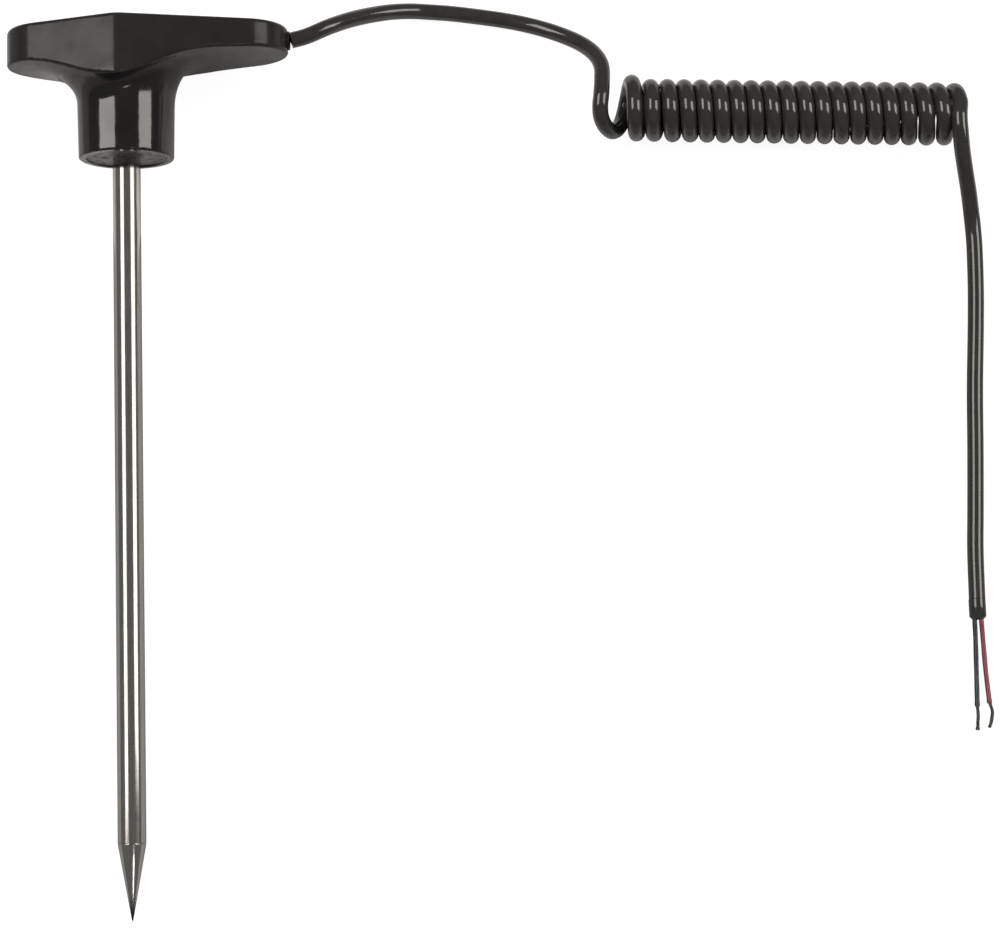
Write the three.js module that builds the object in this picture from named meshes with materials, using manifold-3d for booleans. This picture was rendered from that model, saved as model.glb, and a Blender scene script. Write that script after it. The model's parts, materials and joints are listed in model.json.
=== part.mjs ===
// Insertion probe: a pointed steel tube with a T-shaped grip across its top, and a coiled cord with bare wire
// ends. Millimetres, +Z up. The probe lies on a flat surface with its point towards -Y and the cord's side of
// the grip towards +X. It rests on the shoulder of the point and on the rear ridge of the grip.
import * as THREE from 'three';
import { mergeVertices } from 'three/addons/utils/BufferGeometryUtils.js';
import Module from 'manifold-3d';

const wasm = await Module();
wasm.setup();

// Driving dimensions. The probe's own frame has its origin at the centre of the neck's lower face, +z towards
// the top of the grip and -z towards the point, and the cord leaves along +x.
const gap = 0.3; // between pieces that touch
const grip = { right: 35.1, left: 25.5, halfWidth: 16.5, top: 28.1, rightTaper: 14.1, leftTaper: 20 };
const gripEdge = { ridgeRadius: 6, topRounding: 0.9 };
const underside = { height: 21.35, slope: 0.036, frontDrop: 0.55, dip: 6, dipWidth: 11.4 };
const neck = { radius: 10.2, upperRadius: 10.4, edge: 0.45 };
const flare = { start: 11.2, reach: 7, height: 10.6 };
const cavity = { radius: 7.8, top: 26.9, mouthRadius: 8.6, mouthDepth: 6.5 };
const tube = { radius: 3, wall: 0.5, top: 14, bottom: -145.8 };
const point = { length: 16.2, tipRadius: 0.15, spigotRadius: 2.2, spigotLength: 6 };
const cord = { radius: 1.75, sides: 8, exitHeight: 25.3 };
const coreWire = { radius: 0.52, spread: 0.7, strandRadius: 0.32 };
const coil = { radius: 6.9, height: 6.95, start: [103.4, 77.2], end: [172.9, 74.9] };
const seal = { radius: 2.25, thickness: 0.5, clearance: 0.2 };
const disc = { bottom: 6.6, top: 8.2 };
const nut = { reach: 5.6, bottom: 8.6, height: 3 };
const heatCompound = { radius: 2.2, bottom: 6.4, top: 7.6 }; // heights above the tube's lower end
const element = { radius: 0.8, length: 2.4, height: 11 };
const elementSleeve = { inner: 1.2, outer: 1.5, bottom: 8, top: 20 };
const grommet = { hole: 1.3, depth: 3, flangeTop: 1.2 };
const splice = { x: 2.2, crimpRadius: 0.7, crimpBottom: 17.6, crimpTop: 20.4 };
const spliceSleeve = { inner: 1.0, outer: 1.35, bottom: 17.3, top: 20.8 };
const laid = { tilt: 4.53, x: -4.8, y: 66.1, z: 14.53 }; // how the probe lies in the part's frame

// The free cord's routes, in the part's frame, from the grip to the coil and from the coil to its far end.
const leadRoute = [
  [30.95, 91.4, 16.5],
  [34.5, 92.5, 16.1],
  [39.0, 94.9, 14.8],
  [43.4, 97.5, 11.8],
  [47.7, 99.6, 8.7],
  [52.0, 101.2, 6.0],
  [56.3, 102.1, 3.9],
  [60.7, 102.3, 2.5],
  [66.0, 102, 1.85],
  [74.0, 100.8, 1.8],
  [80.0, 99.6, 1.9],
  [85.5, 97.8, 2.7],
  [90.5, 95.3, 4.4],
  [94.4, 92.5, 6.5],
  [97.0, 89.4, 8.6],
  [98.2, 86.2, 10.3],
  [98.2, 82.8, 11.6],
  [97.9, 79.2, 12.4],
  [97.6, 76.8, 12.2],
  [97.7, 74.8, 11.2],
  [98.3, 73.5, 9.6],
  [99.2, 72.8, 7.9],
  [100.2, 72.6, 6.3],
  [101.2, 73.3, 4.8],
];
const tailRoute = [
  [175.3, 72.4, 12.5],
  [175.5, 68.9, 11.8],
  [175.9, 65.4, 10.4],
  [176.7, 61.6, 8.2],
  [177.6, 57.8, 5.8],
  [178.3, 53.8, 3.8],
  [178.8, 49.7, 2.5],
  [179.0, 45.3, 1.9],
  [178.8, 36.4, 1.8],
  [178.3, 27.4, 1.8],
  [177.4, 14.1, 1.8],
  [176.8, 0.9, 1.8],
  [176.1, -12.3, 1.8],
  [175.6, -21.1, 1.8],
  [175.4, -31.6, 1.8],
];
const sleeve = { start: -31.9, end: -35.3, radius: 1.8, x: 175.35, z: 1.85 };
const blackCoreRoute = [
  [174.65, -35.6, 1.75],
  [174.7, -40.6, 1.2],
  [174.6, -47.1, 0.8],
  [174.4, -54.4, 0.75],
];
const redCoreRoute = [
  [176.05, -35.6, 1.75],
  [176.3, -40.6, 1.2],
  [176.6, -47.1, 0.8],
  [177.05, -53.8, 0.75],
];
const blackStrandRoute = [
  [174.4, -54.7, 0.7],
  [174.55, -56.4, 0.6],
  [174.4, -57.9, 0.5],
  [174.2, -59.3, 0.5],
];
const redStrandRoute = [
  [177.15, -54.1, 0.7],
  [177.6, -55.5, 0.6],
  [177.35, -57.3, 0.5],
  [176.7, -58.9, 0.5],
];

const surfaces = {
  moulding: { color: 0x151515, roughness: 0.25, metalness: 0 },
  resin: { color: 0x4a4644, roughness: 0.6, metalness: 0 },
  steel: { color: 0xb9bbbc, roughness: 0.18, metalness: 1 },
  jacket: { color: 0x262624, roughness: 0.5, metalness: 0 },
  blackInsulation: { color: 0x1c2226, roughness: 0.5, metalness: 0 },
  redInsulation: { color: 0x8c2438, roughness: 0.5, metalness: 0 },
  tinnedCopper: { color: 0x6f6a63, roughness: 0.4, metalness: 1 },
  brass: { color: 0xb8964a, roughness: 0.35, metalness: 1 },
  glassBead: { color: 0x3b2a1c, roughness: 0.2, metalness: 0 },
  polyimide: { color: 0xa8651d, roughness: 0.35, metalness: 0 },
};

const degrees = Math.PI / 180;
const quarter = Math.PI / 2;

// A watertight solid from a three.js geometry, and the other way round.
function solid(geometry) {
  const plain = geometry.clone();
  plain.deleteAttribute('normal');
  plain.deleteAttribute('uv');
  const merged = mergeVertices(plain, 1e-4);
  const vertProperties = new Float32Array(merged.attributes.position.array);
  const triVerts = new Uint32Array(merged.index.array);
  return new wasm.Manifold(new wasm.Mesh({ numProp: 3, vertProperties, triVerts }));
}

function geometryOf(manifold) {
  const mesh = manifold.getMesh();
  const geometry = new THREE.BufferGeometry();
  geometry.setAttribute('position', new THREE.BufferAttribute(new Float32Array(mesh.vertProperties), 3));
  geometry.setIndex(new THREE.BufferAttribute(new Uint32Array(mesh.triVerts), 1));
  geometry.computeVertexNormals();
  return geometry;
}

// A solid of revolution about z from its (radius, height) outline.
function turned(outline, sides = 32) {
  const points = outline.map(([r, z]) => new THREE.Vector2(r, z));
  return new THREE.LatheGeometry(points, sides).rotateX(quarter);
}

function rod(radius, bottom, top, sides = 32) {
  return turned([[0, bottom], [radius, bottom], [radius, top], [0, top]], sides);
}

function ring(inner, outer, bottom, top, sides = 32) {
  return turned([[inner, bottom], [outer, bottom], [outer, top], [inner, top], [inner, bottom]], sides);
}

// A round bar along a smooth route.
function bar(route, radius, steps, sides = cord.sides) {
  const path = new THREE.CatmullRomCurve3(route.map((p) => new THREE.Vector3(...p)));
  const section = new THREE.Shape();
  for (let i = 0; i < sides; i += 1) {
    const angle = (i * 2 * Math.PI) / sides;
    const place = [radius * Math.cos(angle), radius * Math.sin(angle)];
    if (i === 0) section.moveTo(...place);
    else section.lineTo(...place);
  }
  section.closePath();
  return new THREE.ExtrudeGeometry(section, { steps, bevelEnabled: false, extrudePath: path });
}

// The circle that rounds one end of the grip, touching both tapered sides.
function endCircle(reach, taper) {
  const x = (reach - grip.halfWidth * Math.cos(taper)) / (1 - Math.sin(taper));
  return { x, radius: reach - x };
}

// The grip seen from above: tapered sides that meet in two rounded ridges over the neck, with round ends.
function gripOutline() {
  const right = grip.rightTaper * degrees;
  const left = grip.leftTaper * degrees;
  const rightEnd = endCircle(grip.right, right);
  const leftEnd = endCircle(grip.left, left);
  const radius = gripEdge.ridgeRadius;
  const ridgeX = (radius * (1 / Math.cos(left) - 1 / Math.cos(right))) / (Math.tan(right) + Math.tan(left));
  const ridgeY = grip.halfWidth - radius / Math.cos(right) - ridgeX * Math.tan(right);
  const outline = new THREE.Shape();
  outline.absarc(rightEnd.x, 0, rightEnd.radius, right - quarter, quarter - right, false);
  outline.absarc(ridgeX, ridgeY, radius, quarter - right, quarter + left, false);
  outline.absarc(-leftEnd.x, 0, leftEnd.radius, quarter + left, 3 * quarter - left, false);
  outline.absarc(ridgeX, -ridgeY, radius, 3 * quarter - left, 3 * quarter + right, false);
  return outline;
}

function gripPrism(bottom, rounding) {
  const edge = {
    bevelEnabled: rounding > 0,
    bevelThickness: rounding,
    bevelSize: rounding,
    bevelOffset: -rounding,
    bevelSegments: 3,
  };
  const depth = grip.top - bottom - 2 * rounding;
  const prism = new THREE.ExtrudeGeometry(gripOutline(), { depth, curveSegments: 10, ...edge });
  return prism.translate(0, 0, bottom + rounding);
}

// The underside rises slightly towards the cord. It is lower in front, and dips most under the front ridge.
function undersideHeight(x, y) {
  const frontness = (grip.halfWidth - y) / (2 * grip.halfWidth);
  const dip = underside.dip * Math.exp(-((x / underside.dipWidth) ** 2));
  return underside.height + underside.slope * x - (underside.frontDrop + dip) * frontness;
}

// Everything below the underside, as a closed block with a curved upper face.
function belowUnderside() {
  const across = 28;
  const along = 6;
  const low = -5;
  const margin = 2;
  const width = grip.right + grip.left + 2 * margin;
  const depth = 2 * (grip.halfWidth + margin);
  const block = new THREE.BoxGeometry(width, depth, 1, across, along, 1);
  block.translate((grip.right - grip.left) / 2, 0, 0);
  const position = block.attributes.position;
  for (let i = 0; i < position.count; i += 1) {
    const upper = position.getZ(i) > 0;
    position.setZ(i, upper ? undersideHeight(position.getX(i), position.getY(i)) : low);
  }
  return block;
}

function neckWithFlare() {
  const outline = [[0, 0], [neck.radius - neck.edge, 0], [neck.radius, neck.edge]];
  const steps = 7;
  for (let i = 0; i <= steps; i += 1) {
    const angle = (i / steps) * quarter;
    const r = neck.upperRadius + flare.reach * (1 - Math.cos(angle));
    outline.push([r, flare.start + flare.height * Math.sin(angle)]);
  }
  const flareRadius = neck.upperRadius + flare.reach;
  outline.push([flareRadius, cavity.top], [0, cavity.top]);
  return turned(outline, 48);
}

function handleShell() {
  const wings = solid(gripPrism(0, gripEdge.topRounding)).subtract(solid(belowUnderside()));
  const stem = solid(neckWithFlare()).intersect(solid(gripPrism(-1, 0)));
  const bore = solid(rod(cavity.radius, -1, cavity.top, 40));
  const mouth = solid(rod(cavity.mouthRadius, -1, cavity.mouthDepth, 40));
  const channel = rod(cord.radius + gap, -6, grip.right + 2, 16).rotateY(quarter);
  channel.translate(0, 0, cord.exitHeight);
  return geometryOf(wings.add(stem).subtract(bore).subtract(mouth).subtract(solid(channel)));
}

function neckPotting() {
  const lower = 0.4;
  const upper = cavity.mouthDepth - gap;
  return ring(tube.radius + gap, cavity.mouthRadius - gap, lower, upper);
}

function centringDisc() {
  return ring(tube.radius + gap, cavity.radius - gap, disc.bottom, disc.top);
}

function tubeAnchor() {
  const outline = new THREE.Shape();
  for (let i = 0; i < 6; i += 1) {
    const angle = i * 60 * degrees;
    const place = [nut.reach * Math.cos(angle), nut.reach * Math.sin(angle)];
    if (i === 0) outline.moveTo(...place);
    else outline.lineTo(...place);
  }
  outline.closePath();
  const bore = new THREE.Path();
  bore.absarc(0, 0, tube.radius + gap, 0, 2 * Math.PI, true);
  outline.holes.push(bore);
  const body = { depth: nut.height, bevelEnabled: false, curveSegments: 24 };
  return new THREE.ExtrudeGeometry(outline, body).translate(0, 0, nut.bottom);
}

function probeTube() {
  return ring(tube.radius - tube.wall, tube.radius, tube.bottom, tube.top);
}

function probePoint() {
  const shoulder = tube.bottom - gap;
  const end = tube.bottom - point.length;
  const spigotTop = tube.bottom + point.spigotLength;
  const outline = [
    [0, end],
    [point.tipRadius, end],
    [tube.radius, shoulder],
    [point.spigotRadius, shoulder],
    [point.spigotRadius, spigotTop],
    [0, spigotTop],
  ];
  return turned(outline);
}

function sensingElement() {
  const bead = new THREE.CapsuleGeometry(element.radius, element.length, 4, 10);
  return bead.rotateX(quarter).translate(0, 0, tube.bottom + element.height);
}

function leadGrommet() {
  const bottom = tube.top - grommet.depth;
  const top = tube.top + grommet.flangeTop;
  const spigot = tube.radius - tube.wall - gap;
  const flange = tube.radius - 0.1;
  const outline = [
    [grommet.hole, bottom],
    [spigot, bottom],
    [spigot, tube.top + gap],
    [flange, tube.top + gap],
    [flange, top],
    [grommet.hole, top],
    [grommet.hole, bottom],
  ];
  return turned(outline, 20);
}

// side is +1 for the red wire and -1 for the black one.
function sensorLead(side) {
  const route = [
    [0.6 * side, 0, tube.bottom + 13.6],
    [0.6 * side, 0, -90],
    [0.6 * side, 0, -30],
    [0.6 * side, 0, tube.top - 1],
    [0.6 * side, 0, tube.top + 1.4],
    [2.1 * side, 0, tube.top + 3.2],
  ];
  return bar(route, 0.3, 84, 5);
}

function crimp(side) {
  return rod(splice.crimpRadius, splice.crimpBottom, splice.crimpTop, 12).translate(splice.x * side, 0, 0);
}

function sleeveOverCrimp(side) {
  const { inner, outer, bottom, top } = spliceSleeve;
  return ring(inner, outer, bottom, top, 16).translate(splice.x * side, 0, 0);
}

function innerCore(side) {
  const height = cord.exitHeight;
  const rise = side > 0 ? 2.9 : -0.8;
  const route = [
    [splice.x * side, 0, 20.7],
    [splice.x * side, 0.45 * side, 22.6],
    [rise, 0.8 * side, 24.6],
    [rise + 2.2, 0.8 * side, height],
    [8.4, coreWire.spread * side, height],
  ];
  return bar(route, coreWire.radius, 14);
}

function innerJacket() {
  const start = 8.7;
  const length = grip.right - start;
  const jacket = rod(cord.radius, 0, length, cord.sides).rotateY(quarter);
  return jacket.translate(start, 0, cord.exitHeight);
}

function cordSeal() {
  const collar = ring(cord.radius + seal.clearance, seal.radius, 0, seal.thickness, 20).rotateY(quarter);
  return collar.translate(grip.right + gap, 0, cord.exitHeight);
}

function cordCoil() {
  const along = new THREE.Vector2(coil.end[0] - coil.start[0], coil.end[1] - coil.start[1]);
  const body = rod(coil.radius, 0, along.length(), 24).rotateY(quarter).rotateZ(along.angle());
  return body.translate(coil.start[0], coil.start[1], coil.height);
}

function heatCompoundPlug() {
  return rod(heatCompound.radius, tube.bottom + heatCompound.bottom, tube.bottom + heatCompound.top, 20);
}

function filmSleeve() {
  const { inner, outer, bottom, top } = elementSleeve;
  return ring(inner, outer, tube.bottom + bottom, tube.bottom + top, 20);
}

function endSleeve() {
  const length = sleeve.start - sleeve.end;
  return rod(sleeve.radius, 0, length, 12).rotateX(quarter).translate(sleeve.x, sleeve.start, sleeve.z);
}

function piece(name, geometry, surface) {
  const mesh = new THREE.Mesh(geometry, new THREE.MeshStandardMaterial(surfaces[surface]));
  mesh.name = name;
  return mesh;
}

function probePieces() {
  const pieces = [
    piece('handle_shell', handleShell(), 'moulding'),
    piece('neck_potting', neckPotting(), 'resin'),
    piece('centring_disc', centringDisc(), 'moulding'),
    piece('tube_anchor', tubeAnchor(), 'brass'),
    piece('probe_tube', probeTube(), 'steel'),
    piece('probe_point', probePoint(), 'steel'),
    piece('heat_compound', heatCompoundPlug(), 'resin'),
    piece('sensing_element', sensingElement(), 'glassBead'),
    piece('element_sleeve', filmSleeve(), 'polyimide'),
    piece('lead_grommet', leadGrommet(), 'jacket'),
    piece('inner_jacket', innerJacket(), 'jacket'),
    piece('cord_seal', cordSeal(), 'moulding'),
  ];
  for (const [colour, side] of [['red', 1], ['black', -1]]) {
    const insulation = `${colour}Insulation`;
    pieces.push(piece(`sensor_lead_${colour}`, sensorLead(side), insulation));
    pieces.push(piece(`splice_crimp_${colour}`, crimp(side), 'tinnedCopper'));
    pieces.push(piece(`splice_sleeve_${colour}`, sleeveOverCrimp(side), 'jacket'));
    pieces.push(piece(`inner_core_${colour}`, innerCore(side), insulation));
  }
  return pieces;
}

function cordPieces() {
  return [
    piece('cord_lead', bar(leadRoute, cord.radius, 36), 'jacket'),
    piece('cord_coil', cordCoil(), 'jacket'),
    piece('cord_tail', bar(tailRoute, cord.radius, 30), 'jacket'),
    piece('cord_end_sleeve', endSleeve(), 'jacket'),
    piece('core_black', bar(blackCoreRoute, coreWire.radius, 10), 'blackInsulation'),
    piece('core_red', bar(redCoreRoute, coreWire.radius, 10), 'redInsulation'),
    piece('strands_black', bar(blackStrandRoute, coreWire.strandRadius, 6), 'tinnedCopper'),
    piece('strands_red', bar(redStrandRoute, coreWire.strandRadius, 6), 'tinnedCopper'),
  ];
}

const probe = new THREE.Group();
probe.add(...probePieces());
probe.rotation.x = laid.tilt * degrees - quarter;
probe.position.set(laid.x, laid.y, laid.z);

const group = new THREE.Group();
group.add(probe, ...cordPieces());
group.updateMatrixWorld(true);

export default group;
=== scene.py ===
"""A steel insertion probe with a T-shaped grip and a coiled cord, in plain studio light.

The part's frame is in metres: the probe lies on z = 0 with its point towards -Y. Sizes in millimetres are
in the probe's own frame: its origin is the centre of the neck's lower face, +z points to the top of the
grip, and the cord leaves along +x. PROBE takes those millimetres to the part's frame.
"""

import json
import math

import bmesh
import bpy
import numpy as np
from mathutils import Matrix, Vector

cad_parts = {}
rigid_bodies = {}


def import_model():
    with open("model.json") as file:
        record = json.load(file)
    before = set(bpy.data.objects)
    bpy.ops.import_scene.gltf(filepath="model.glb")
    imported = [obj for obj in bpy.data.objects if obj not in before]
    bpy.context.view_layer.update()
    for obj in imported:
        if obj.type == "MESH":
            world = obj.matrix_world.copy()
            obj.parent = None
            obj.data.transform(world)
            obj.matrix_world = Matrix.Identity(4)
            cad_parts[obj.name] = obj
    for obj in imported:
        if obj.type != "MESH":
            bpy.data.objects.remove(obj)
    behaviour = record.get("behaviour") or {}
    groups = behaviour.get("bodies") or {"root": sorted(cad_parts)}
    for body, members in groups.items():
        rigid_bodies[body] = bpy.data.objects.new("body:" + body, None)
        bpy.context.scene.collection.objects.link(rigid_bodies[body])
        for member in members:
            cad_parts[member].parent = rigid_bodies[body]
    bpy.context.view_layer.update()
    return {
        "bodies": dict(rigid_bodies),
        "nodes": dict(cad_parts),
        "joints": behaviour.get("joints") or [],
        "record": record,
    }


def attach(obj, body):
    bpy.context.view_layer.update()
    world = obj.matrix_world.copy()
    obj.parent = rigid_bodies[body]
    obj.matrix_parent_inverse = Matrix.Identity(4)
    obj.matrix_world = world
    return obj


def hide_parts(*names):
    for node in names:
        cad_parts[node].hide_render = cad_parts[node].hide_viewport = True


MM = 0.001
WHOLE = 2 * math.pi

# How the probe lies: the centre of the neck's lower face, and how far its axis dips towards the point.
NECK_FACE = (-0.0048, 0.0661, 0.01453)
DIP = math.radians(4.53)
LYING = Matrix.Rotation(DIP - math.pi / 2, 4, "X")
PROBE = Matrix.Translation(NECK_FACE) @ LYING @ Matrix.Scale(MM, 4)

# Grip, neck and stem, in millimetres.
GRIP_RIGHT = 35.1
GRIP_LEFT = 25.5
GRIP_HALF_WIDTH = 16.5
GRIP_TOP = 28.1
RIGHT_TAPER = math.radians(14.1)
LEFT_TAPER = math.radians(20)
RIDGE_RADIUS = 6.0
TOP_EDGE = 0.9
LOWER_EDGE = 0.6
UNDERSIDE_HEIGHT = 21.35
UNDERSIDE_SLOPE = 0.036
UNDERSIDE_FRONT_DROP = 0.55
UNDERSIDE_DIP = 6.0
UNDERSIDE_DIP_WIDTH = 11.4
NECK_RADIUS = 10.2
NECK_UPPER_RADIUS = 10.4
FLARE_START = 11.2
FLARE_REACH = 7.0
FLARE_HEIGHT = 10.6
NECK_EDGE = 0.45
LEFT_FILLET = 7.0
RIGHT_FILLET = 1.3
FILLET_CHANGE = 6.0
BORE_RADIUS = 7.8
BORE_TOP = 26.9
MOUTH_RADIUS = 8.6
MOUTH_DEPTH = 6.5
MOUTH_EDGE = 0.25
CORD_HOLE_RADIUS = 2.05
CORD_HOLE_EDGE = 0.2
CORD_HEIGHT = 25.3
TUBE_RADIUS = 3.0
TUBE_WALL = 0.5
TUBE_TOP = 14.0
TUBE_BOTTOM = -145.8
JOINT_GAP = 0.3
POINT_LENGTH = 16.2
TIP_RADIUS = 0.15
SPIGOT_RADIUS = 2.2
SPIGOT_LENGTH = 6.0
GRIP_VOXEL = 0.4

# Where the neck's gloss gives way to the grip's handled, duller surface, which also has a lighter base
# colour, along y in metres.
GRIP_STARTS = (0.0775, 0.0815)

# Where the point's colour, painted dark towards its end, gives way to the bright steel, along y in metres.
TIP_ENDS = (-0.0938, -0.0905)

# Steps of a smooth curve between two points of a route.
ROUTE_STEPS = 6

# The free cord, in metres: its route to the coil and from the coil, and the coil between them.
CORD_RADIUS = 0.00175
LEAD_ROUTE = [
    (0.03095, 0.0914, 0.0165),
    (0.0345, 0.0925, 0.0161),
    (0.0390, 0.0949, 0.0148),
    (0.0434, 0.0975, 0.0118),
    (0.0477, 0.0996, 0.0087),
    (0.0520, 0.1012, 0.0060),
    (0.0563, 0.1021, 0.0039),
    (0.0607, 0.1023, 0.0025),
    (0.0660, 0.1020, 0.00185),
    (0.0740, 0.1008, 0.0018),
    (0.0800, 0.0996, 0.0019),
    (0.0855, 0.0978, 0.0027),
    (0.0905, 0.0953, 0.0044),
    (0.0944, 0.0925, 0.0065),
    (0.0970, 0.0894, 0.0086),
    (0.0982, 0.0862, 0.0103),
    (0.0982, 0.0828, 0.0116),
    (0.0979, 0.0792, 0.0124),
    (0.0976, 0.0768, 0.0122),
    (0.0977, 0.0748, 0.0112),
    (0.0983, 0.0735, 0.0096),
    (0.0992, 0.0728, 0.0079),
    (0.1002, 0.0726, 0.0063),
    (0.1012, 0.0733, 0.0048),
]
COIL_ENTRY = [
    (0.1021, 0.0746, 0.0034),
    (0.1028, 0.0764, 0.0024),
    (0.1034, 0.0784, 0.0020),
    (0.1039, 0.0805, 0.0023),
    (0.1043, 0.0822, 0.0036),
]
TAIL_ROUTE = [
    (0.1753, 0.0724, 0.0125),
    (0.1755, 0.0689, 0.0118),
    (0.1759, 0.0654, 0.0104),
    (0.1767, 0.0616, 0.0082),
    (0.1776, 0.0578, 0.0058),
    (0.1783, 0.0538, 0.0038),
    (0.1788, 0.0497, 0.0025),
    (0.1790, 0.0453, 0.0019),
    (0.1788, 0.0364, 0.0018),
    (0.1783, 0.0274, 0.0018),
    (0.1774, 0.0141, 0.0018),
    (0.1768, 0.0009, 0.0018),
    (0.1761, -0.0123, 0.0018),
    (0.1756, -0.0211, 0.0018),
    (0.1754, -0.0316, 0.0018),
]
COIL_RADIUS = 0.0051
COIL_PITCH = 0.003655
COIL_HEIGHT = 0.00695
COIL_SECOND_LOBE = 0.1087
COIL_AXIS_Y = 0.0770
COIL_AXIS_SLOPE = -0.0365
COIL_LEANS = ((1, 0.0007), (3, 0.0003), (19, 0.0001))
COIL_FIRST_TURN = -0.06
COIL_LAST_TURN = 19.21
COIL_TURN_STEPS = 20
COIL_LOOSE_TURN = 16.5
COIL_LOOSENING = 0.0002
COIL_SWELL = 1.035
FIRST_LOBE_EXTRA = 0.0010
FIRST_LOBE_SHIFT = 0.00035

# The stripped end of the cord, in metres.
SLEEVE_X = 0.17535
SLEEVE_Z = 0.00185
SLEEVE_START = -0.0316
SLEEVE_END = -0.0359
SLEEVE_RADIUS = 0.0018
CORE_RADIUS = 0.00052
WIRE_RADIUS = 0.00012
BLACK_CORE_ROUTE = [
    (0.17465, -0.0348, 0.00175),
    (0.17465, -0.0356, 0.00175),
    (0.17470, -0.0406, 0.0012),
    (0.17460, -0.0471, 0.0008),
    (0.17440, -0.0544, 0.00075),
]
RED_CORE_ROUTE = [
    (0.17605, -0.0348, 0.00175),
    (0.17605, -0.0356, 0.00175),
    (0.17630, -0.0406, 0.0012),
    (0.17660, -0.0471, 0.0008),
    (0.17705, -0.0538, 0.00075),
]
BLACK_STRAND_ROUTE = [
    (0.17440, -0.0540, 0.00072),
    (0.17440, -0.0547, 0.0007),
    (0.17455, -0.0564, 0.0006),
    (0.17440, -0.0579, 0.0005),
    (0.17420, -0.0593, 0.0005),
]
RED_STRAND_ROUTE = [
    (0.17705, -0.0534, 0.00072),
    (0.17715, -0.0541, 0.0007),
    (0.17760, -0.0555, 0.0006),
    (0.17735, -0.0573, 0.0005),
    (0.17670, -0.0589, 0.0005),
]

# The camera: where it looks on the table, how far away it is and how steeply it looks down.
LOOK_AT = Vector((0.07413, -0.00057, 0.0))
CAMERA_DISTANCE = 0.55
CAMERA_ELEVATION = math.radians(80)
CAMERA_ROLL = math.radians(-1.26)
CAMERA_LENS = 91.49
SENSOR_WIDTH = 36.0

# The lamps' angles are seen from this place, and their middles are this far from it.
LAMP_AIM = Vector((-0.0048, 0.02, 0.015))
LAMP_DISTANCE = 2.8
LAMP_COLOUR = (1.0, 0.955, 0.905)

# The softboxes, in degrees from straight up: sideways towards +X, and lengthways towards +Y.
LEFT_BOX_INNER_EDGE = -19
RIGHT_BOX_SIDEWAYS = (38, 68)
FRONT_LAMP_SIDEWAYS = (19, 29)
FRONT_LAMP_LENGTHWAYS = (-34.5, -25)
FRONT_LAMP_RADIANCE = 20

# The two boxes of each group of pieces: the left one's outer edge, their lengthways range and radiance.
MOULDING_BOXES = (-57, (3, 30), 20)
TUBE_BOXES = (-46, (-20, 30), 7)
OTHER_BOXES = (-46, (-10, 30), 21)
WORLD_COLOUR = (1.0, 0.985, 0.97, 1.0)
WORLD_STRENGTH = 0.16

# The stage, in metres: the floor, the cards just under it and the dome behind it.
FLOOR_HALF_SIZES = (6, 6)
FLOOR_GREY = 0.2
FLOOR_GLOW = 0.94
FLOOR_CARD_GREY = 0.45
FLOOR_CARD_HEIGHT = -0.0008
LIGHT_CARD_GREY = 0.92
LIGHT_CARD_HEIGHT = -0.0004
LIGHT_CARD_CENTRE = (0.08, 0.114)
LIGHT_CARD_HALF_SIZES = (0.135, 0.06)
CARD_ROUGHNESS = 0.9
DOME_RADIUS = 5.5
DOME_LOWEST = -0.3

# Each CAD node that stays, and the material it takes.
CARRIED = {
    "centring_disc": "moulding",
    "tube_anchor": "brass",
    "heat_compound": "resin",
    "sensing_element": "glass_bead",
    "element_sleeve": "polyimide",
    "lead_grommet": "jacket",
    "inner_jacket": "jacket",
    "sensor_lead_red": "red_insulation",
    "sensor_lead_black": "black_insulation",
    "splice_crimp_red": "tinned_copper",
    "splice_crimp_black": "tinned_copper",
    "splice_sleeve_red": "jacket",
    "splice_sleeve_black": "jacket",
    "inner_core_red": "red_insulation",
    "inner_core_black": "black_insulation",
}


# ---------------------------------------------------------------- materials


def link(material, source, output, target, socket):
    material.node_tree.links.new(source.outputs[output], target.inputs[socket])


def place_nodes(material, stretch):
    """The coordinates that a pattern is laid out in: the part's metres, stretched along each axis."""
    coordinates = material.node_tree.nodes.new("ShaderNodeTexCoord")
    mapping = material.node_tree.nodes.new("ShaderNodeMapping")
    mapping.inputs["Scale"].default_value = stretch
    link(material, coordinates, "Object", mapping, "Vector")
    return mapping


def noise(material, mapping, scale, detail=3.0, roughness=0.5):
    texture = material.node_tree.nodes.new("ShaderNodeTexNoise")
    texture.inputs["Scale"].default_value = scale
    texture.inputs["Detail"].default_value = detail
    texture.inputs["Roughness"].default_value = roughness
    link(material, mapping, "Vector", texture, "Vector")
    return texture


def colour_ramp(material, source, stops):
    ramp = material.node_tree.nodes.new("ShaderNodeValToRGB")
    elements = ramp.color_ramp.elements
    while len(elements) < len(stops):
        elements.new(0.5)
    for element, (position, colour) in zip(elements, stops):
        element.position = position
        element.color = (*colour, 1.0)
    link(material, source, "Fac", ramp, "Fac")
    return ramp


def spread(material, source, low, high):
    """Turns a noise value into a number between low and high."""
    ranged = material.node_tree.nodes.new("ShaderNodeMapRange")
    ranged.inputs["From Min"].default_value = 0.3
    ranged.inputs["From Max"].default_value = 0.7
    ranged.inputs["To Min"].default_value = low
    ranged.inputs["To Max"].default_value = high
    link(material, source, "Fac", ranged, "Value")
    return ranged


def share_along_y(material, mapping, span):
    """A value that grows from 0 to 1 as y goes from the span's first end to its second."""
    axes = material.node_tree.nodes.new("ShaderNodeSeparateXYZ")
    link(material, mapping, "Vector", axes, "Vector")
    share = material.node_tree.nodes.new("ShaderNodeMapRange")
    share.inputs["From Min"].default_value = span[0]
    share.inputs["From Max"].default_value = span[1]
    link(material, axes, "Y", share, "Value")
    return share


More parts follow.
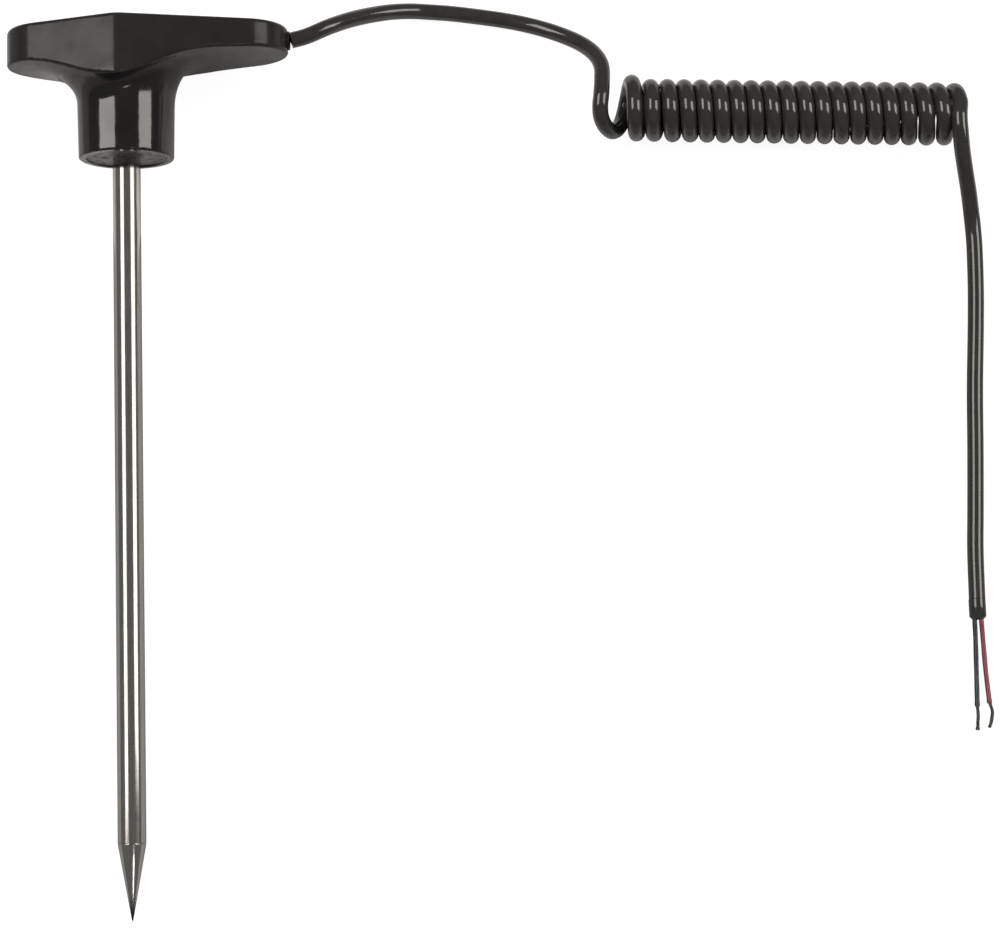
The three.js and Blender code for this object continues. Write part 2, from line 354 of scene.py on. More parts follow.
def blend_along_y(material, mapping, span, near, far, target):
    """Feeds a socket from one node before the span and from another after it, by their first outputs."""
    share = share_along_y(material, mapping, span)
    blend = material.node_tree.nodes.new("ShaderNodeMix")
    blend.data_type = "RGBA" if target.type == "RGBA" else "FLOAT"
    factor, low, high = (socket for socket in blend.inputs if socket.enabled)
    result = next(socket for socket in blend.outputs if socket.enabled)
    links = material.node_tree.links
    links.new(share.outputs["Result"], factor)
    links.new(near.outputs[0], low)
    links.new(far.outputs[0], high)
    links.new(result, target)


def bump(material, source, strength, height, under=None):
    relief = material.node_tree.nodes.new("ShaderNodeBump")
    relief.inputs["Strength"].default_value = strength
    relief.inputs["Distance"].default_value = height
    link(material, source, "Fac", relief, "Height")
    if under is not None:
        link(material, under, "Normal", relief, "Normal")
    return relief


def new_material(name, metallic=0.0, specular=0.5, ior=1.5):
    material = bpy.data.materials.new(name)
    material.use_nodes = True
    shader = material.node_tree.nodes["Principled BSDF"]
    shader.inputs["Metallic"].default_value = metallic
    shader.inputs["Specular IOR Level"].default_value = specular
    shader.inputs["IOR"].default_value = ior
    return material, shader


def moulding_material():
    """Glossy black moulded plastic with faint orange peel and slow waves, duller and lighter in base colour
    above the neck.
    """
    material, shader = new_material("moulding")
    mapping = place_nodes(material, (1, 1, 1))
    tone = noise(material, mapping, 160, 4)
    clean = colour_ramp(material, tone, [(0.3, (0.010, 0.0098, 0.0096)), (0.75, (0.017, 0.0166, 0.0162))])
    # The grip above the neck has a lighter base colour than the neck, which brightens its flanks and
    # underside.
    lighter_above_neck = colour_ramp(material, tone, [(0.3, (0.026, 0.025, 0.025)), (0.75, (0.034, 0.033, 0.033))])
    blend_along_y(material, mapping, GRIP_STARTS, clean, lighter_above_neck, shader.inputs["Base Color"])
    dulling = noise(material, mapping, 420, 6, 0.6)
    gloss = spread(material, dulling, 0.07, 0.14)
    handled = spread(material, dulling, 0.16, 0.25)
    blend_along_y(material, mapping, GRIP_STARTS, gloss, handled, shader.inputs["Roughness"])
    shiny = spread(material, tone, 0.46, 0.54)
    rubbed = spread(material, tone, 0.12, 0.18)
    blend_along_y(material, mapping, GRIP_STARTS, shiny, rubbed, shader.inputs["Specular IOR Level"])
    waves = bump(material, noise(material, mapping, 420, 1), 0.35, 0.00006)
    peel = bump(material, noise(material, mapping, 900, 2), 0.3, 0.000018, waves)
    link(material, peel, "Normal", shader, "Normal")
    return material


def jacket_material():
    """Satin black cord jacket with a fine extruded grain and handling marks."""
    material, shader = new_material("jacket")
    mapping = place_nodes(material, (1, 1, 1))
    tone = noise(material, mapping, 260, 5, 0.6)
    tint = colour_ramp(material, tone, [(0.3, (0.028, 0.028, 0.027)), (0.75, (0.042, 0.041, 0.039))])
    link(material, tint, "Color", shader, "Base Color")
    marks = noise(material, mapping, 700, 4, 0.6)
    gloss = spread(material, marks, 0.07, 0.14)
    link(material, gloss, "Result", shader, "Roughness")
    lumps = bump(material, noise(material, mapping, 330, 2), 0.25, 0.00005)
    grain = bump(material, noise(material, mapping, 2600, 3), 0.25, 0.00001, lumps)
    link(material, grain, "Normal", shader, "Normal")
    return material


def steel_material():
    """Polished stainless steel: fine lines drawn along it, uneven reflections and a tip painted dark."""
    material, shader = new_material("steel", metallic=1.0)
    drawn = place_nodes(material, (1, 0.02, 1))
    plain = place_nodes(material, (1, 1, 1))
    tone = noise(material, drawn, 2400, 4, 0.6)
    dark = colour_ramp(material, tone, [(0.25, (0.05, 0.048, 0.046)), (0.75, (0.09, 0.087, 0.084))])
    bright = colour_ramp(material, tone, [(0.25, (0.46, 0.45, 0.43)), (0.75, (0.62, 0.61, 0.59))])
    # The base colour is painted dark over the point's last few millimetres.
    blend_along_y(material, plain, TIP_ENDS, dark, bright, shader.inputs["Base Color"])
    smears = noise(material, plain, 240, 5, 0.65)
    gloss = spread(material, smears, 0.08, 0.17)
    link(material, gloss, "Result", shader, "Roughness")
    waves = bump(material, noise(material, plain, 150, 1), 0.25, 0.00005)
    lines = bump(material, noise(material, drawn, 5200, 3), 0.25, 0.000004, waves)
    link(material, lines, "Normal", shader, "Normal")
    return material


def resin_material():
    """Cast resin: mottled warm grey, half glossy, with small pits and ripples."""
    material, shader = new_material("resin")
    mapping = place_nodes(material, (1, 1, 1))
    tone = noise(material, mapping, 520, 5, 0.65)
    stops = [(0.3, (0.035, 0.032, 0.030)), (0.52, (0.16, 0.148, 0.14)), (0.75, (0.26, 0.245, 0.235))]
    tint = colour_ramp(material, tone, stops)
    link(material, tint, "Color", shader, "Base Color")
    patches = noise(material, mapping, 900, 4, 0.6)
    gloss = spread(material, patches, 0.28, 0.6)
    link(material, gloss, "Result", shader, "Roughness")
    ripples = bump(material, noise(material, mapping, 480, 2), 0.6, 0.0002)
    pits = bump(material, noise(material, mapping, 1900, 4), 0.4, 0.00004, ripples)
    link(material, pits, "Normal", shader, "Normal")
    return material


def insulation_material(name, dark, light):
    """Smooth wire insulation with slow changes of shade and fine handling marks."""
    material, shader = new_material(name)
    mapping = place_nodes(material, (1, 0.35, 1))
    tone = noise(material, mapping, 900, 5, 0.65)
    tint = colour_ramp(material, tone, [(0.3, dark), (0.72, light)])
    link(material, tint, "Color", shader, "Base Color")
    gloss = spread(material, noise(material, mapping, 1500, 4), 0.3, 0.48)
    link(material, gloss, "Result", shader, "Roughness")
    grain = bump(material, noise(material, mapping, 2600, 3), 0.4, 0.00002)
    link(material, grain, "Normal", shader, "Normal")
    return material


def metal_material(name, dark, light, gloss_range, scale):
    """Bare metal whose shade and gloss vary in small patches."""
    material, shader = new_material(name, metallic=1.0)
    mapping = place_nodes(material, (1, 1, 1))
    tone = noise(material, mapping, scale, 5, 0.65)
    tint = colour_ramp(material, tone, [(0.3, dark), (0.7, light)])
    link(material, tint, "Color", shader, "Base Color")
    gloss = spread(material, noise(material, mapping, scale * 1.7, 4), *gloss_range)
    link(material, gloss, "Result", shader, "Roughness")
    grain = bump(material, noise(material, mapping, scale * 3, 3), 0.4, 0.00002)
    link(material, grain, "Normal", shader, "Normal")
    return material


def glassy_material(name, dark, light, gloss_range):
    """Hard glossy film or glass with faint streaks."""
    material, shader = new_material(name)
    mapping = place_nodes(material, (1, 0.25, 1))
    tone = noise(material, mapping, 1100, 4)
    tint = colour_ramp(material, tone, [(0.3, dark), (0.7, light)])
    link(material, tint, "Color", shader, "Base Color")
    gloss = spread(material, noise(material, mapping, 1800, 3), *gloss_range)
    link(material, gloss, "Result", shader, "Roughness")
    shader.inputs["Coat Weight"].default_value = 0.4
    return material


def make_materials():
    return {
        "moulding": moulding_material(),
        "jacket": jacket_material(),
        "steel": steel_material(),
        "resin": resin_material(),
        "black_insulation": insulation_material(
            "black_insulation", (0.006, 0.009, 0.013), (0.016, 0.022, 0.030)
        ),
        "red_insulation": insulation_material(
            "red_insulation", (0.17, 0.022, 0.04), (0.26, 0.042, 0.068)
        ),
        "tinned_copper": metal_material(
            "tinned_copper", (0.05, 0.047, 0.044), (0.16, 0.15, 0.14), (0.25, 0.5), 2200
        ),
        "brass": metal_material("brass", (0.42, 0.29, 0.10), (0.62, 0.45, 0.18), (0.2, 0.4), 900),
        "glass_bead": glassy_material("glass_bead", (0.03, 0.018, 0.01), (0.09, 0.05, 0.025), (0.05, 0.15)),
        "polyimide": glassy_material("polyimide", (0.34, 0.13, 0.02), (0.52, 0.22, 0.04), (0.12, 0.25)),
    }


# ---------------------------------------------------------------- shapes


def add_object(name, data):
    obj = bpy.data.objects.new(name, data)
    bpy.context.collection.objects.link(obj)
    return obj


def turned(name, outline, frame, sides=96, warp=None):
    """A closed solid of revolution about z from its closed (radius, height) outline, in the given frame.

    warp, if given, takes (radius, height, angle) and returns the height that the point gets instead.
    """
    shape = bmesh.new()
    rings = []
    for step in range(sides):
        angle = WHOLE * step / sides
        ring = []
        for radius, height in outline:
            level = warp(radius, height, angle) if warp else height
            ring.append(shape.verts.new((radius * math.cos(angle), radius * math.sin(angle), level)))
        rings.append(ring)
    for step in range(sides):
        here, there = rings[step], rings[(step + 1) % sides]
        for i in range(len(outline)):
            j = (i + 1) % len(outline)
            if outline[i][0] or outline[j][0]:
                shape.faces.new((here[i], there[i], there[j], here[j]))
    bmesh.ops.remove_doubles(shape, verts=shape.verts, dist=1e-6)
    bmesh.ops.recalc_face_normals(shape, faces=shape.faces)
    mesh = bpy.data.meshes.new(name)
    shape.to_mesh(mesh)
    shape.free()
    mesh.transform(frame)
    mesh.shade_smooth()
    mesh.set_sharp_from_angle(angle=math.radians(38))
    return add_object(name, mesh)


def arc(centre, radius, start, end, steps=5):
    """Outline points along an arc, from the start angle to the end angle in degrees."""
    points = []
    for i in range(steps + 1):
        angle = math.radians(start + (end - start) * i / steps)
        points.append((centre[0] + radius * math.cos(angle), centre[1] + radius * math.sin(angle)))
    return points


def smooth_route(route, steps=ROUTE_STEPS):
    """More points on the smooth curve through a route's points."""
    points = [Vector(p) for p in route]
    padded = [2 * points[0] - points[1], *points, 2 * points[-1] - points[-2]]
    smooth = []
    for i in range(1, len(padded) - 2):
        before, here, there, after = padded[i - 1 : i + 3]
        for step in range(steps):
            t = step / steps
            start = (there - before) / 2
            end = (after - here) / 2
            bend = here * (2 * t**3 - 3 * t**2 + 1) + there * (3 * t**2 - 2 * t**3)
            smooth.append(bend + start * (t**3 - 2 * t**2 + t) + end * (t**3 - t**2))
    smooth.append(points[-1])
    return smooth


def round_bar(name, runs, radius, swell=None):
    """A curve piece of round section: one open run of points, or several. swell(t) scales the section."""
    curve = bpy.data.curves.new(name, "CURVE")
    curve.dimensions = "3D"
    curve.bevel_depth = radius
    curve.bevel_resolution = 6
    curve.use_fill_caps = True
    for run in runs:
        spline = curve.splines.new("POLY")
        spline.points.add(len(run) - 1)
        for i, point in enumerate(run):
            spline.points[i].co = (*point, 1.0)
            spline.points[i].radius = swell(i / (len(run) - 1)) if swell else 1.0
        spline.use_smooth = True
    return add_object(name, curve)


def place(obj, material, slot, *nodes):
    """Gives a finished piece its material, attaches it to the root body and hides the CAD nodes it stands
    for.
    """
    obj.data.materials.clear()
    obj.data.materials.append(material)
    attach(obj, "root")
    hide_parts(*nodes)


# ---------------------------------------------------------------- the cord


def coil_point(turn):
    """The cord's centre in the coil. A whole turn is a lobe on the grip's side, before the top."""
    angle = WHOLE * turn
    lean = np.interp(turn, *zip(*COIL_LEANS))
    x = COIL_SECOND_LOBE + COIL_PITCH * (turn - 1) + lean * (math.cos(angle) - 1)
    x += COIL_LOOSENING * max(0.0, turn - COIL_LOOSE_TURN)
    reach = COIL_RADIUS
    if turn < 0.5:
        opening = math.cos(math.pi * turn) ** 2
        reach += FIRST_LOBE_EXTRA * opening
        x -= FIRST_LOBE_SHIFT * opening
    axis = COIL_AXIS_Y + COIL_AXIS_SLOPE * (x - COIL_SECOND_LOBE)
    return (x, axis + reach * math.cos(angle), COIL_HEIGHT + COIL_RADIUS * math.sin(angle))


def cord_centreline():
    """Lead, coil and tail as one curve. The lead and the tail are smoothed into the coil's end steps."""
    turns = COIL_LAST_TURN - COIL_FIRST_TURN
    steps = round(turns * COIL_TURN_STEPS)
    coil = [coil_point(COIL_FIRST_TURN + turns * i / steps) for i in range(steps + 1)]
    entry = smooth_route([*LEAD_ROUTE, *COIL_ENTRY, coil[0], coil[1]])
    leaving = smooth_route([coil[-2], coil[-1], *TAIL_ROUTE])
    shared = ROUTE_STEPS + 1
    return [*entry[:-shared], *smooth_route(coil, 2), *leaving[shared:]]


def press_together(cord):
    """In the coil the jacket's turns touch, so its section is a little fuller there."""
    points = cord.data.splines[0].points
    for point in points:
        inwards = min(point.co.x - COIL_SECOND_LOBE, TAIL_ROUTE[0][0] - point.co.x)
        share = min(1.0, max(0.0, inwards / COIL_PITCH))
        point.radius = 1 + (COIL_SWELL - 1) * share


def make_cord(materials):
    cord = round_bar("cord", [cord_centreline()], CORD_RADIUS)
    press_together(cord)
    place(cord, materials["jacket"], "jacket", "cord_lead", "cord_coil", "cord_tail")
    return cord


def make_end_sleeve(materials):
    """The jacket's cut end: a short sleeve with a bevelled rim, hollow where the cores come out."""
    radius = SLEEVE_RADIUS / MM
    length = (SLEEVE_START - SLEEVE_END) / MM
    outline = [
        (0.0, 0.0),
        (radius - 0.12, 0.0),
        (radius, 0.1),
        (radius, length - 0.62),
        (radius - 0.06, length - 0.5),
        (radius - 0.5, length - 0.04),
        (radius - 0.58, length),
        (radius - 0.66, length - 0.05),
        (radius - 0.66, length - 0.8),
        (0.0, length - 0.8),
    ]
    frame = Matrix.Translation((SLEEVE_X, SLEEVE_START, SLEEVE_Z)) @ Matrix.Rotation(math.pi / 2, 4, "X")
    sleeve = turned("jacket_end", outline, frame @ Matrix.Scale(MM, 4), 48)
    place(sleeve, materials["jacket"], "jacket", "cord_end_sleeve")
    return sleeve


def core_swell(t):
    """Insulation is a little uneven, and rolls up slightly where it was stripped."""
    return 1 + 0.025 * math.sin(23 * t) + 0.12 * math.exp(-(((t - 0.985) / 0.018) ** 2))


def make_core(name, route, material, slot, node):
    core = round_bar(name, [smooth_route(route, 14)], CORE_RADIUS, core_swell)
    place(core, material, slot, node)
    return core


def twisted(route, wires=7, twists=2.6, spacing=2.05 * WIRE_RADIUS):
    """Runs of fine wires wound round a route, one of them straight along its middle."""
    middle = smooth_route(route, 10)
    runs = [middle]
    count = len(middle)
    for wire in range(wires - 1):
        run = []
        for i, point in enumerate(middle):
            ahead = middle[min(i + 1, count - 1)] - middle[max(i - 1, 0)]
            across = ahead.cross(Vector((0, 0, 1))).normalized()
            upwards = across.cross(ahead).normalized()
            t = i / (count - 1)
            angle = WHOLE * (wire / (wires - 1) + twists * t)
            loose = spacing * (1 + 0.25 * math.sin(9 * t + wire))
            run.append(point + across * (loose * math.cos(angle)) + upwards * (loose * math.sin(angle)))
        runs.append(run)
    return runs


def bead_swell(t):
    """The wires are fused into a small bead at their end."""
    return 1 + 0.9 * math.exp(-(((t - 0.97) / 0.06) ** 2))


def even_swell(t):
    return 1 + 0.15 * math.sin(11 * t)


def make_strands(name, route, swell, materials, node):
    strands = round_bar(name, twisted(route), WIRE_RADIUS, swell)
    place(strands, materials["tinned_copper"], "tinned_copper", node)
    return strands


def make_cord_and_end(materials):
    cord = make_cord(materials)
    black = materials["black_insulation"]
    red = materials["red_insulation"]
    pieces = [
        make_end_sleeve(materials),
        make_core("black_core", BLACK_CORE_ROUTE, black, "black_insulation", "core_black"),
        make_core("red_core", RED_CORE_ROUTE, red, "red_insulation", "core_red"),
        make_strands("black_core_strands", BLACK_STRAND_ROUTE, bead_swell, materials, "strands_black"),
        make_strands("red_core_strands", RED_STRAND_ROUTE, even_swell, materials, "strands_red"),
    ]


# ---------------------------------------------------------------- the grip


def rounded_both(a, b, radius):
    """The distance to what two solids share, with the edge between them rounded."""
    corner = np.hypot(np.maximum(a + radius, 0), np.maximum(b + radius, 0))
    return np.minimum(np.maximum(a, b), -radius) + corner


def filleted_either(a, b, radius):
    """The distance to two solids joined, with a fillet between them."""
    corner = np.hypot(np.maximum(radius - a, 0), np.maximum(radius - b, 0))
    return np.maximum(np.minimum(a, b), radius) - corner


def arc_distance(x, y, centre, radius, start, end):
    """How far points lie outside a round stretch of outline and the straight lines that go on from it."""
    angle = np.clip(np.arctan2(y - centre[1], x - centre[0]), start, end)
    return (x - centre[0]) * np.cos(angle) + (y - centre[1]) * np.sin(angle) - radius


def end_circle(reach, taper):
    x = (reach - GRIP_HALF_WIDTH * math.cos(taper)) / (1 - math.sin(taper))
    return x, reach - x


def outline_distance(x, y):
    """The grip from above: tapered sides that meet in two rounded ridges over the neck, and round ends."""
    right_x, right_radius = end_circle(GRIP_RIGHT, RIGHT_TAPER)
    left_x, left_radius = end_circle(GRIP_LEFT, LEFT_TAPER)
    ridge_x = RIDGE_RADIUS * (1 / math.cos(LEFT_TAPER) - 1 / math.cos(RIGHT_TAPER))
    ridge_x /= math.tan(RIGHT_TAPER) + math.tan(LEFT_TAPER)
    ridge_y = GRIP_HALF_WIDTH - RIDGE_RADIUS / math.cos(RIGHT_TAPER) - ridge_x * math.tan(RIGHT_TAPER)
    quarter = math.pi / 2
    side = np.abs(y)
    right = arc_distance(x, side, (right_x, 0), right_radius, 0, quarter - RIGHT_TAPER)
    ridge_ends = (quarter - RIGHT_TAPER, quarter + LEFT_TAPER)
    ridge = arc_distance(x, side, (ridge_x, ridge_y), RIDGE_RADIUS, *ridge_ends)
    left = arc_distance(x, side, (-left_x, 0), left_radius, quarter + LEFT_TAPER, math.pi)
    return np.maximum(np.maximum(right, left), ridge)


def underside_distance(x, y, z):
    """How far points lie below the underside, which is lower in front and dips most under the front ridge."""
    frontness = (GRIP_HALF_WIDTH - y) / (2 * GRIP_HALF_WIDTH)
    dip = UNDERSIDE_DIP * np.exp(-((x / UNDERSIDE_DIP_WIDTH) ** 2))
    height = UNDERSIDE_HEIGHT + UNDERSIDE_SLOPE * x - (UNDERSIDE_FRONT_DROP + dip) * frontness
    across = UNDERSIDE_SLOPE + 2 * x / UNDERSIDE_DIP_WIDTH**2 * dip * frontness
    forward = (UNDERSIDE_FRONT_DROP + dip) / (2 * GRIP_HALF_WIDTH)
    return (height - z) / np.sqrt(1 + across**2 + forward**2)


def neck_distance(radius, z):
    """The neck, whose upper part flares in a quarter ellipse to meet the underside."""
    straight = NECK_RADIUS + (NECK_UPPER_RADIUS - NECK_RADIUS) * np.clip(z / FLARE_START, 0, 1)
    rise = np.clip((z - FLARE_START) / FLARE_HEIGHT, 0, 0.99)
    inward = np.sqrt(1 - rise**2)
    wall = straight + FLARE_REACH * (1 - inward)
    steepness = FLARE_REACH / FLARE_HEIGHT * rise / inward
    return (radius - wall) / np.sqrt(1 + steepness**2)


def grip_distance(points):
    """Signed distance from the grip's moulding, hollow neck and cord hole included."""
    x, y, z = points.T
    radius = np.hypot(x, y)
    outline = outline_distance(x, y)
    slab = rounded_both(outline, z - GRIP_TOP, TOP_EDGE)
    neck = rounded_both(neck_distance(radius, z), -z, NECK_EDGE)
    rightness = (1 + np.tanh(x / FILLET_CHANGE)) / 2
    fillet = LEFT_FILLET + (RIGHT_FILLET - LEFT_FILLET) * rightness
    lower = filleted_either(underside_distance(x, y, z), neck, fillet)
    body = rounded_both(slab, lower, LOWER_EDGE)
    bore = np.maximum(radius - BORE_RADIUS, z - BORE_TOP)
    mouth = np.maximum(radius - MOUTH_RADIUS, z - MOUTH_DEPTH)
    body = rounded_both(body, -np.minimum(bore, mouth), MOUTH_EDGE)
    hole = np.maximum(np.hypot(y, z - CORD_HEIGHT) - CORD_HOLE_RADIUS, -x)
    return rounded_both(body, -hole, CORD_HOLE_EDGE)


def grip_slope(points, step=0.02):
    """The direction in which the distance grows, by small differences."""
    slope = np.empty_like(points)
    for axis in range(3):
        offset = np.zeros(3)
        offset[axis] = step
        slope[:, axis] = grip_distance(points + offset) - grip_distance(points - offset)
    return slope / (2 * step)


def settle(points, rounds=7, longest=0.25):
    """Moves points onto the grip's exact surface."""
    for _ in range(rounds):
        slope = grip_slope(points)
        length = np.maximum((slope**2).sum(axis=1), 0.05)
        move = grip_distance(points)[:, None] * slope / length[:, None]
        size = np.maximum(np.linalg.norm(move, axis=1), 1e-9)
        points = points - move * np.minimum(1, longest / size)[:, None]
    return points


def remeshed_shell(shell, voxel):
    """An even fine mesh of the CAD shell, as a new object."""
    copy = add_object("grip", shell.data.copy())
    remesh = copy.modifiers.new("even", "REMESH")
    remesh.mode = "VOXEL"
    remesh.voxel_size = voxel
    graph = bpy.context.evaluated_depsgraph_get()
    mesh = bpy.data.meshes.new_from_object(copy.evaluated_get(graph))
    copy.modifiers.clear()
    copy.data = mesh
    return copy


def make_grip(materials, shell):
    grip = remeshed_shell(shell, GRIP_VOXEL * MM)
    mesh = grip.data
    flat = np.empty(3 * len(mesh.vertices))
    mesh.vertices.foreach_get("co", flat)
    to_probe = np.array(PROBE.inverted())
    to_part = np.array(PROBE)
    points = flat.reshape(-1, 3) @ to_probe[:3, :3].T + to_probe[:3, 3]
    points = settle(points)
    slope = grip_slope(points)
    slope /= np.maximum(np.linalg.norm(slope, axis=1), 1e-6)[:, None]
    flat = points @ to_part[:3, :3].T + to_part[:3, 3]
    mesh.vertices.foreach_set("co", flat.ravel())
    mesh.shade_smooth()
    normals = slope @ (to_part[:3, :3] / MM).T
    mesh.normals_split_custom_set_from_vertices([tuple(n) for n in normals])
    mesh.update()
    place(grip, materials["moulding"], "moulding", "handle_shell")


# ---------------------------------------------------------------- the neck's resin, the stem and the seal


def resin_level(radius, height, angle):
    """The cast face creeps along the tube and the wall, ripples, and has one pit and one raised drip."""
    if height > MOUTH_DEPTH / 2:
        return height
    creep = 0.4 * math.exp(-(radius - TUBE_RADIUS) / 0.45) + 0.2 * math.exp((radius - MOUTH_RADIUS) / 0.4)
    ripple = 0.07 * math.sin(3 * angle + 0.8 * radius) * math.sin(1.9 * radius + 2 * math.sin(angle))
    x = radius * math.cos(angle)
    y = radius * math.sin(angle)
    pit = 0.35 * math.exp(-((x + 6.6) ** 2 + (y + 1.4) ** 2) / 0.22)
    drip = 0.3 * math.exp(-((x + 4.6) ** 2 + (y - 0.6) ** 2) / 0.9)
    return height - creep + ripple + pit - drip


def make_potting(materials):
    lower = 0.55
    upper = MOUTH_DEPTH - JOINT_GAP
    inner = TUBE_RADIUS + 0.02
    outer = MOUTH_RADIUS - 0.03
    rings = 26
    face = [(inner + (outer - inner) * i / rings, lower) for i in range(rings + 1)]
    outline = [*face, (outer, upper), (inner, upper)]
    potting = turned("neck_resin", outline, PROBE, 144, resin_level)
    place(potting, materials["resin"], "resin", "neck_potting")


def make_tube(materials):
    """The stem: a drawn tube whose lower rim is just broken, so the joint with the point is a hairline."""
    inner = TUBE_RADIUS - TUBE_WALL
    rim = 0.08
    lower = arc((TUBE_RADIUS - rim, TUBE_BOTTOM + rim), rim, -90, 0)
    upper = arc((TUBE_RADIUS - rim, TUBE_TOP - rim), rim, 0, 90)
    outline = [(inner, TUBE_BOTTOM), *lower, *upper, (inner, TUBE_TOP)]
    tube = turned("stem_tube", outline, PROBE, 128)
    place(tube, materials["steel"], "steel", "probe_tube")


def make_point(materials):
    """The ground cone: a rounded tip, a crisp shoulder, and the spigot that is pressed into the tube."""
    shoulder = TUBE_BOTTOM - 0.06
    end = TUBE_BOTTOM - POINT_LENGTH
    edge = 0.1
    spigot_top = TUBE_BOTTOM + SPIGOT_LENGTH
    tip = arc((0, end + TIP_RADIUS), TIP_RADIUS, -90, -10, 4)
    shoulder_edge = arc((TUBE_RADIUS - edge, shoulder - edge), edge, -10, 90, 5)
    outline = [
        *tip,
        *shoulder_edge,
        (SPIGOT_RADIUS, shoulder),
        (SPIGOT_RADIUS, spigot_top - 0.4),
        (SPIGOT_RADIUS - 0.4, spigot_top),
        (0.0, spigot_top),
    ]
    cone = turned("stem_point", outline, PROBE, 128)
    place(cone, materials["steel"], "steel", "probe_point")


def make_seal(materials):
    """A low rounded collar round the cord, where it leaves the end of the grip."""
    inner = CORD_RADIUS / MM + 0.03
    outer = CORD_HOLE_RADIUS
    depth = 0.5
    proud = 0.4
    edge = 0.15
    outline = [
        (inner, -depth),
        (outer, -depth),
        *arc((outer - edge, proud - edge), edge, 0, 90),
        (inner, proud),
    ]
    along = Matrix.Translation((GRIP_RIGHT, 0, CORD_HEIGHT)) @ Matrix.Rotation(math.pi / 2, 4, "Y")
    seal = turned("cord_collar", outline, PROBE @ along, 64)
    place(seal, materials["moulding"], "moulding", "cord_seal")


def dress_carried_nodes(frame, materials):
    for name, material in CARRIED.items():
        for slot in frame["nodes"][name].material_slots:
            slot.material = materials[material]


# ---------------------------------------------------------------- studio


def make_camera():
    towards = Vector((0, -math.cos(CAMERA_ELEVATION), math.sin(CAMERA_ELEVATION)))
    forward = -towards
    right = Vector((1, 0, 0))
    upwards = right.cross(forward)
    rolled_right = right * math.cos(CAMERA_ROLL) + upwards * math.sin(CAMERA_ROLL)
    rolled_up = upwards * math.cos(CAMERA_ROLL) - right * math.sin(CAMERA_ROLL)
    data = bpy.data.cameras.new("camera")
    data.sensor_fit = "HORIZONTAL"
    data.sensor_width = SENSOR_WIDTH
    data.lens = CAMERA_LENS
    data.clip_start = 0.01
    data.clip_end = 20
    camera = add_object("camera", data)
    axes = Matrix((rolled_right, rolled_up, towards)).transposed()
    camera.matrix_world = Matrix.Translation(LOOK_AT + towards * CAMERA_DISTANCE) @ axes.to_4x4()
    bpy.context.scene.camera = camera


def stage_material(name, colour, roughness, glow):
    """Plain matt card with a faint unevenness. glow is the light it gives off by itself."""
    material, shader = new_material(name, specular=0.2)
    mapping = place_nodes(material, (1, 1, 1))
    tint = colour_ramp(
        material,
        noise(material, mapping, 30, 2),
        [(0.2, tuple(c * 0.985 for c in colour)), (0.8, colour)],
    )
    link(material, tint, "Color", shader, "Base Color")
    shader.inputs["Roughness"].default_value = roughness
    shader.inputs["Emission Color"].default_value = (1.0, 1.0, 1.0, 1.0)
    shader.inputs["Emission Strength"].default_value = glow
    return material


def sheet(name, centre, half_sizes, height, material):
    """A level rectangle of the stage."""
    mesh = bpy.data.meshes.new(name)
    corners = [(-1, -1), (1, -1), (1, 1), (-1, 1)]
    points = [(centre[0] + half_sizes[0] * x, centre[1] + half_sizes[1] * y, height) for x, y in corners]
    mesh.from_pydata(points, [], [(0, 1, 2, 3)])
    flat = add_object(name, mesh)
    mesh.materials.append(material)
    return flat


def show_only_to_camera(obj):
    obj.visible_diffuse = False
    obj.visible_glossy = False
    obj.visible_transmission = False
    obj.visible_shadow = False


def make_floor():
    """A pale floor for the camera, and just under it the cards that reflections and bounced light see."""
    pale = stage_material("floor", 3 * (FLOOR_GREY,), CARD_ROUGHNESS, FLOOR_GLOW)
    show_only_to_camera(sheet("floor", (0, 0), FLOOR_HALF_SIZES, 0.0, pale))
    grey = stage_material("floor_card", 3 * (FLOOR_CARD_GREY,), CARD_ROUGHNESS, 0.0)
    card = sheet("floor_card", (0, 0), FLOOR_HALF_SIZES, FLOOR_CARD_HEIGHT, grey)
    card.visible_camera = False
    light_grey = stage_material("light_card", 3 * (LIGHT_CARD_GREY,), CARD_ROUGHNESS, 0.0)
    light_card = sheet("light_card", LIGHT_CARD_CENTRE, LIGHT_CARD_HALF_SIZES, LIGHT_CARD_HEIGHT, light_grey)
    light_card.visible_camera = False


def make_backdrop():
    """A pale dome behind everything, seen only by the camera."""
    shape = bmesh.new()
    bmesh.ops.create_uvsphere(shape, u_segments=48, v_segments=24, radius=DOME_RADIUS)
    low = [v for v in shape.verts if v.co.z < DOME_LOWEST]
    bmesh.ops.delete(shape, geom=low, context="VERTS")
    bmesh.ops.reverse_faces(shape, faces=shape.faces)
    mesh = bpy.data.meshes.new("backdrop")
    shape.to_mesh(mesh)
    shape.free()
    mesh.shade_smooth()
    mesh.materials.append(stage_material("backdrop", (0.0, 0.0, 0.0), 1.0, 1.0))
    dome = add_object("backdrop", mesh)
    show_only_to_camera(dome)


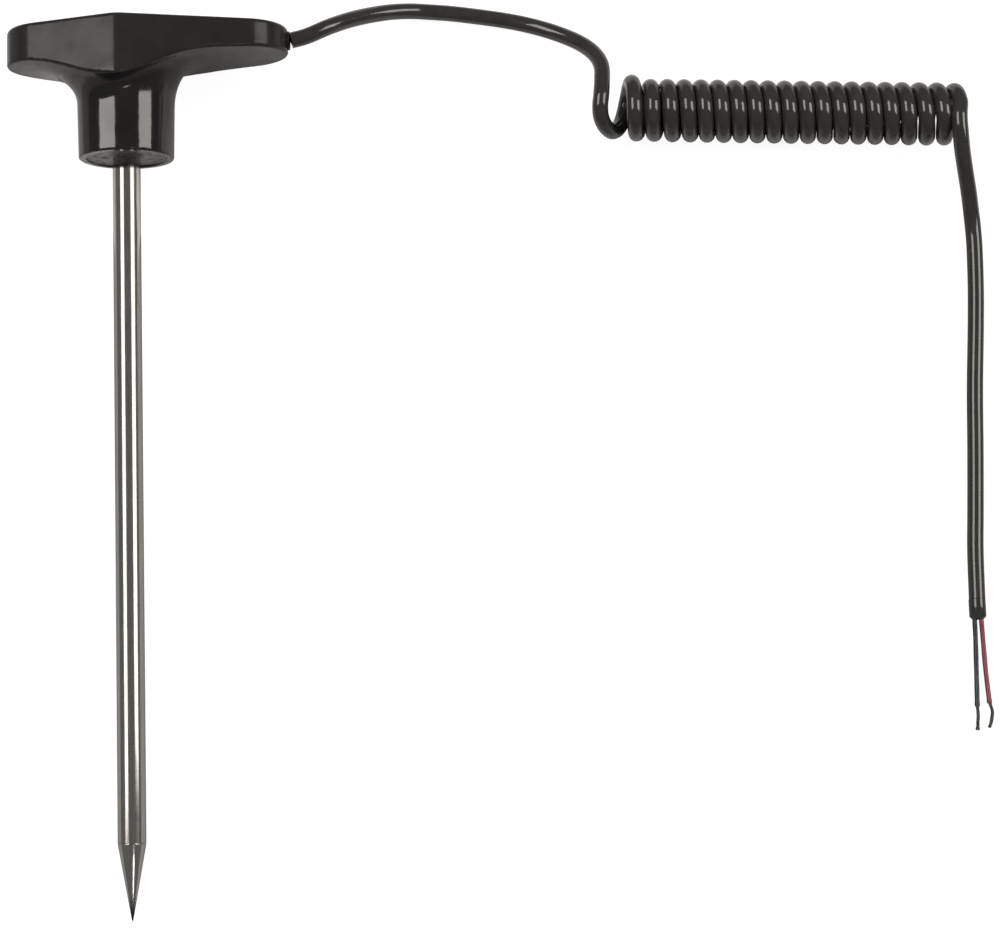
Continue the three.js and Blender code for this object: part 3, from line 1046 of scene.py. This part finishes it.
def softbox(name, sideways, lengthways, radiance, lit):
    """A rectangular lamp far above the stem, over a range of angles each way, for some pieces only."""
    low, high = (math.tan(math.radians(angle)) for angle in lengthways)
    leaning = math.radians(sum(sideways) / 2)
    spread_sideways = math.radians(sideways[1] - sideways[0])
    towards = Vector((math.tan(leaning), (low + high) / 2, 1)).normalized()
    right = Vector((0, 1, 0)).cross(towards).normalized()
    forward = towards.cross(right)
    data = bpy.data.lights.new(name, "AREA")
    data.shape = "RECTANGLE"
    data.size = 2 * LAMP_DISTANCE * math.tan(spread_sideways / 2)
    data.size_y = LAMP_DISTANCE * towards.z * (high - low)
    data.energy = radiance * data.size * data.size_y
    data.color = LAMP_COLOUR
    lamp = add_object(name, data)
    axes = Matrix((right, forward, towards)).transposed()
    lamp.matrix_world = Matrix.Translation(LAMP_AIM + towards * LAMP_DISTANCE) @ axes.to_4x4()
    lamp.visible_camera = False
    lamp.light_linking.receiver_collection = lit


def lit_pieces(name, pieces):
    collection = bpy.data.collections.new(name)
    for piece in pieces:
        collection.objects.link(piece)
    return collection


def make_boxes(part, left_edge, lengthways, radiance, lit):
    """The two softboxes over the probe, one on each side, as one group of pieces sees them."""
    softbox("left_box_" + part, (left_edge, LEFT_BOX_INNER_EDGE), lengthways, radiance, lit)
    softbox("right_box_" + part, RIGHT_BOX_SIDEWAYS, lengthways, radiance, lit)


def make_lights():
    """Each group of pieces has its own pair of boxes, and only the point and the grip see the front lamp."""
    objects = bpy.data.objects
    mouldings = [objects["grip"], objects["neck_resin"], objects["cord_collar"]]
    tube = [objects["stem_tube"]]
    solid = [obj for obj in bpy.context.scene.objects if obj.type in ("MESH", "CURVE")]
    others = [obj for obj in solid if obj not in mouldings and obj not in tube]
    make_boxes("mouldings", *MOULDING_BOXES, lit_pieces("lit_mouldings", mouldings))
    make_boxes("tube", *TUBE_BOXES, lit_pieces("lit_tube", tube))
    make_boxes("others", *OTHER_BOXES, lit_pieces("lit_others", others))
    pointed = lit_pieces("lit_point", [objects["grip"], objects["stem_point"]])
    softbox("front_lamp", FRONT_LAMP_SIDEWAYS, FRONT_LAMP_LENGTHWAYS, FRONT_LAMP_RADIANCE, pointed)


def make_world():
    world = bpy.data.worlds.new("studio")
    bpy.context.scene.world = world
    world.use_nodes = True
    background = world.node_tree.nodes["Background"]
    background.inputs["Color"].default_value = WORLD_COLOUR
    background.inputs["Strength"].default_value = WORLD_STRENGTH
    bpy.context.scene.view_settings.view_transform = "Standard"


def main():
    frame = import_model()
    make_camera()
    materials = make_materials()
    make_cord_and_end(materials)
    make_grip(materials, frame["nodes"]["handle_shell"])
    make_potting(materials)
    make_tube(materials)
    make_point(materials)
    make_seal(materials)
    dress_carried_nodes(frame, materials)
    make_floor()
    make_backdrop()
    make_lights()
    make_world()


main()
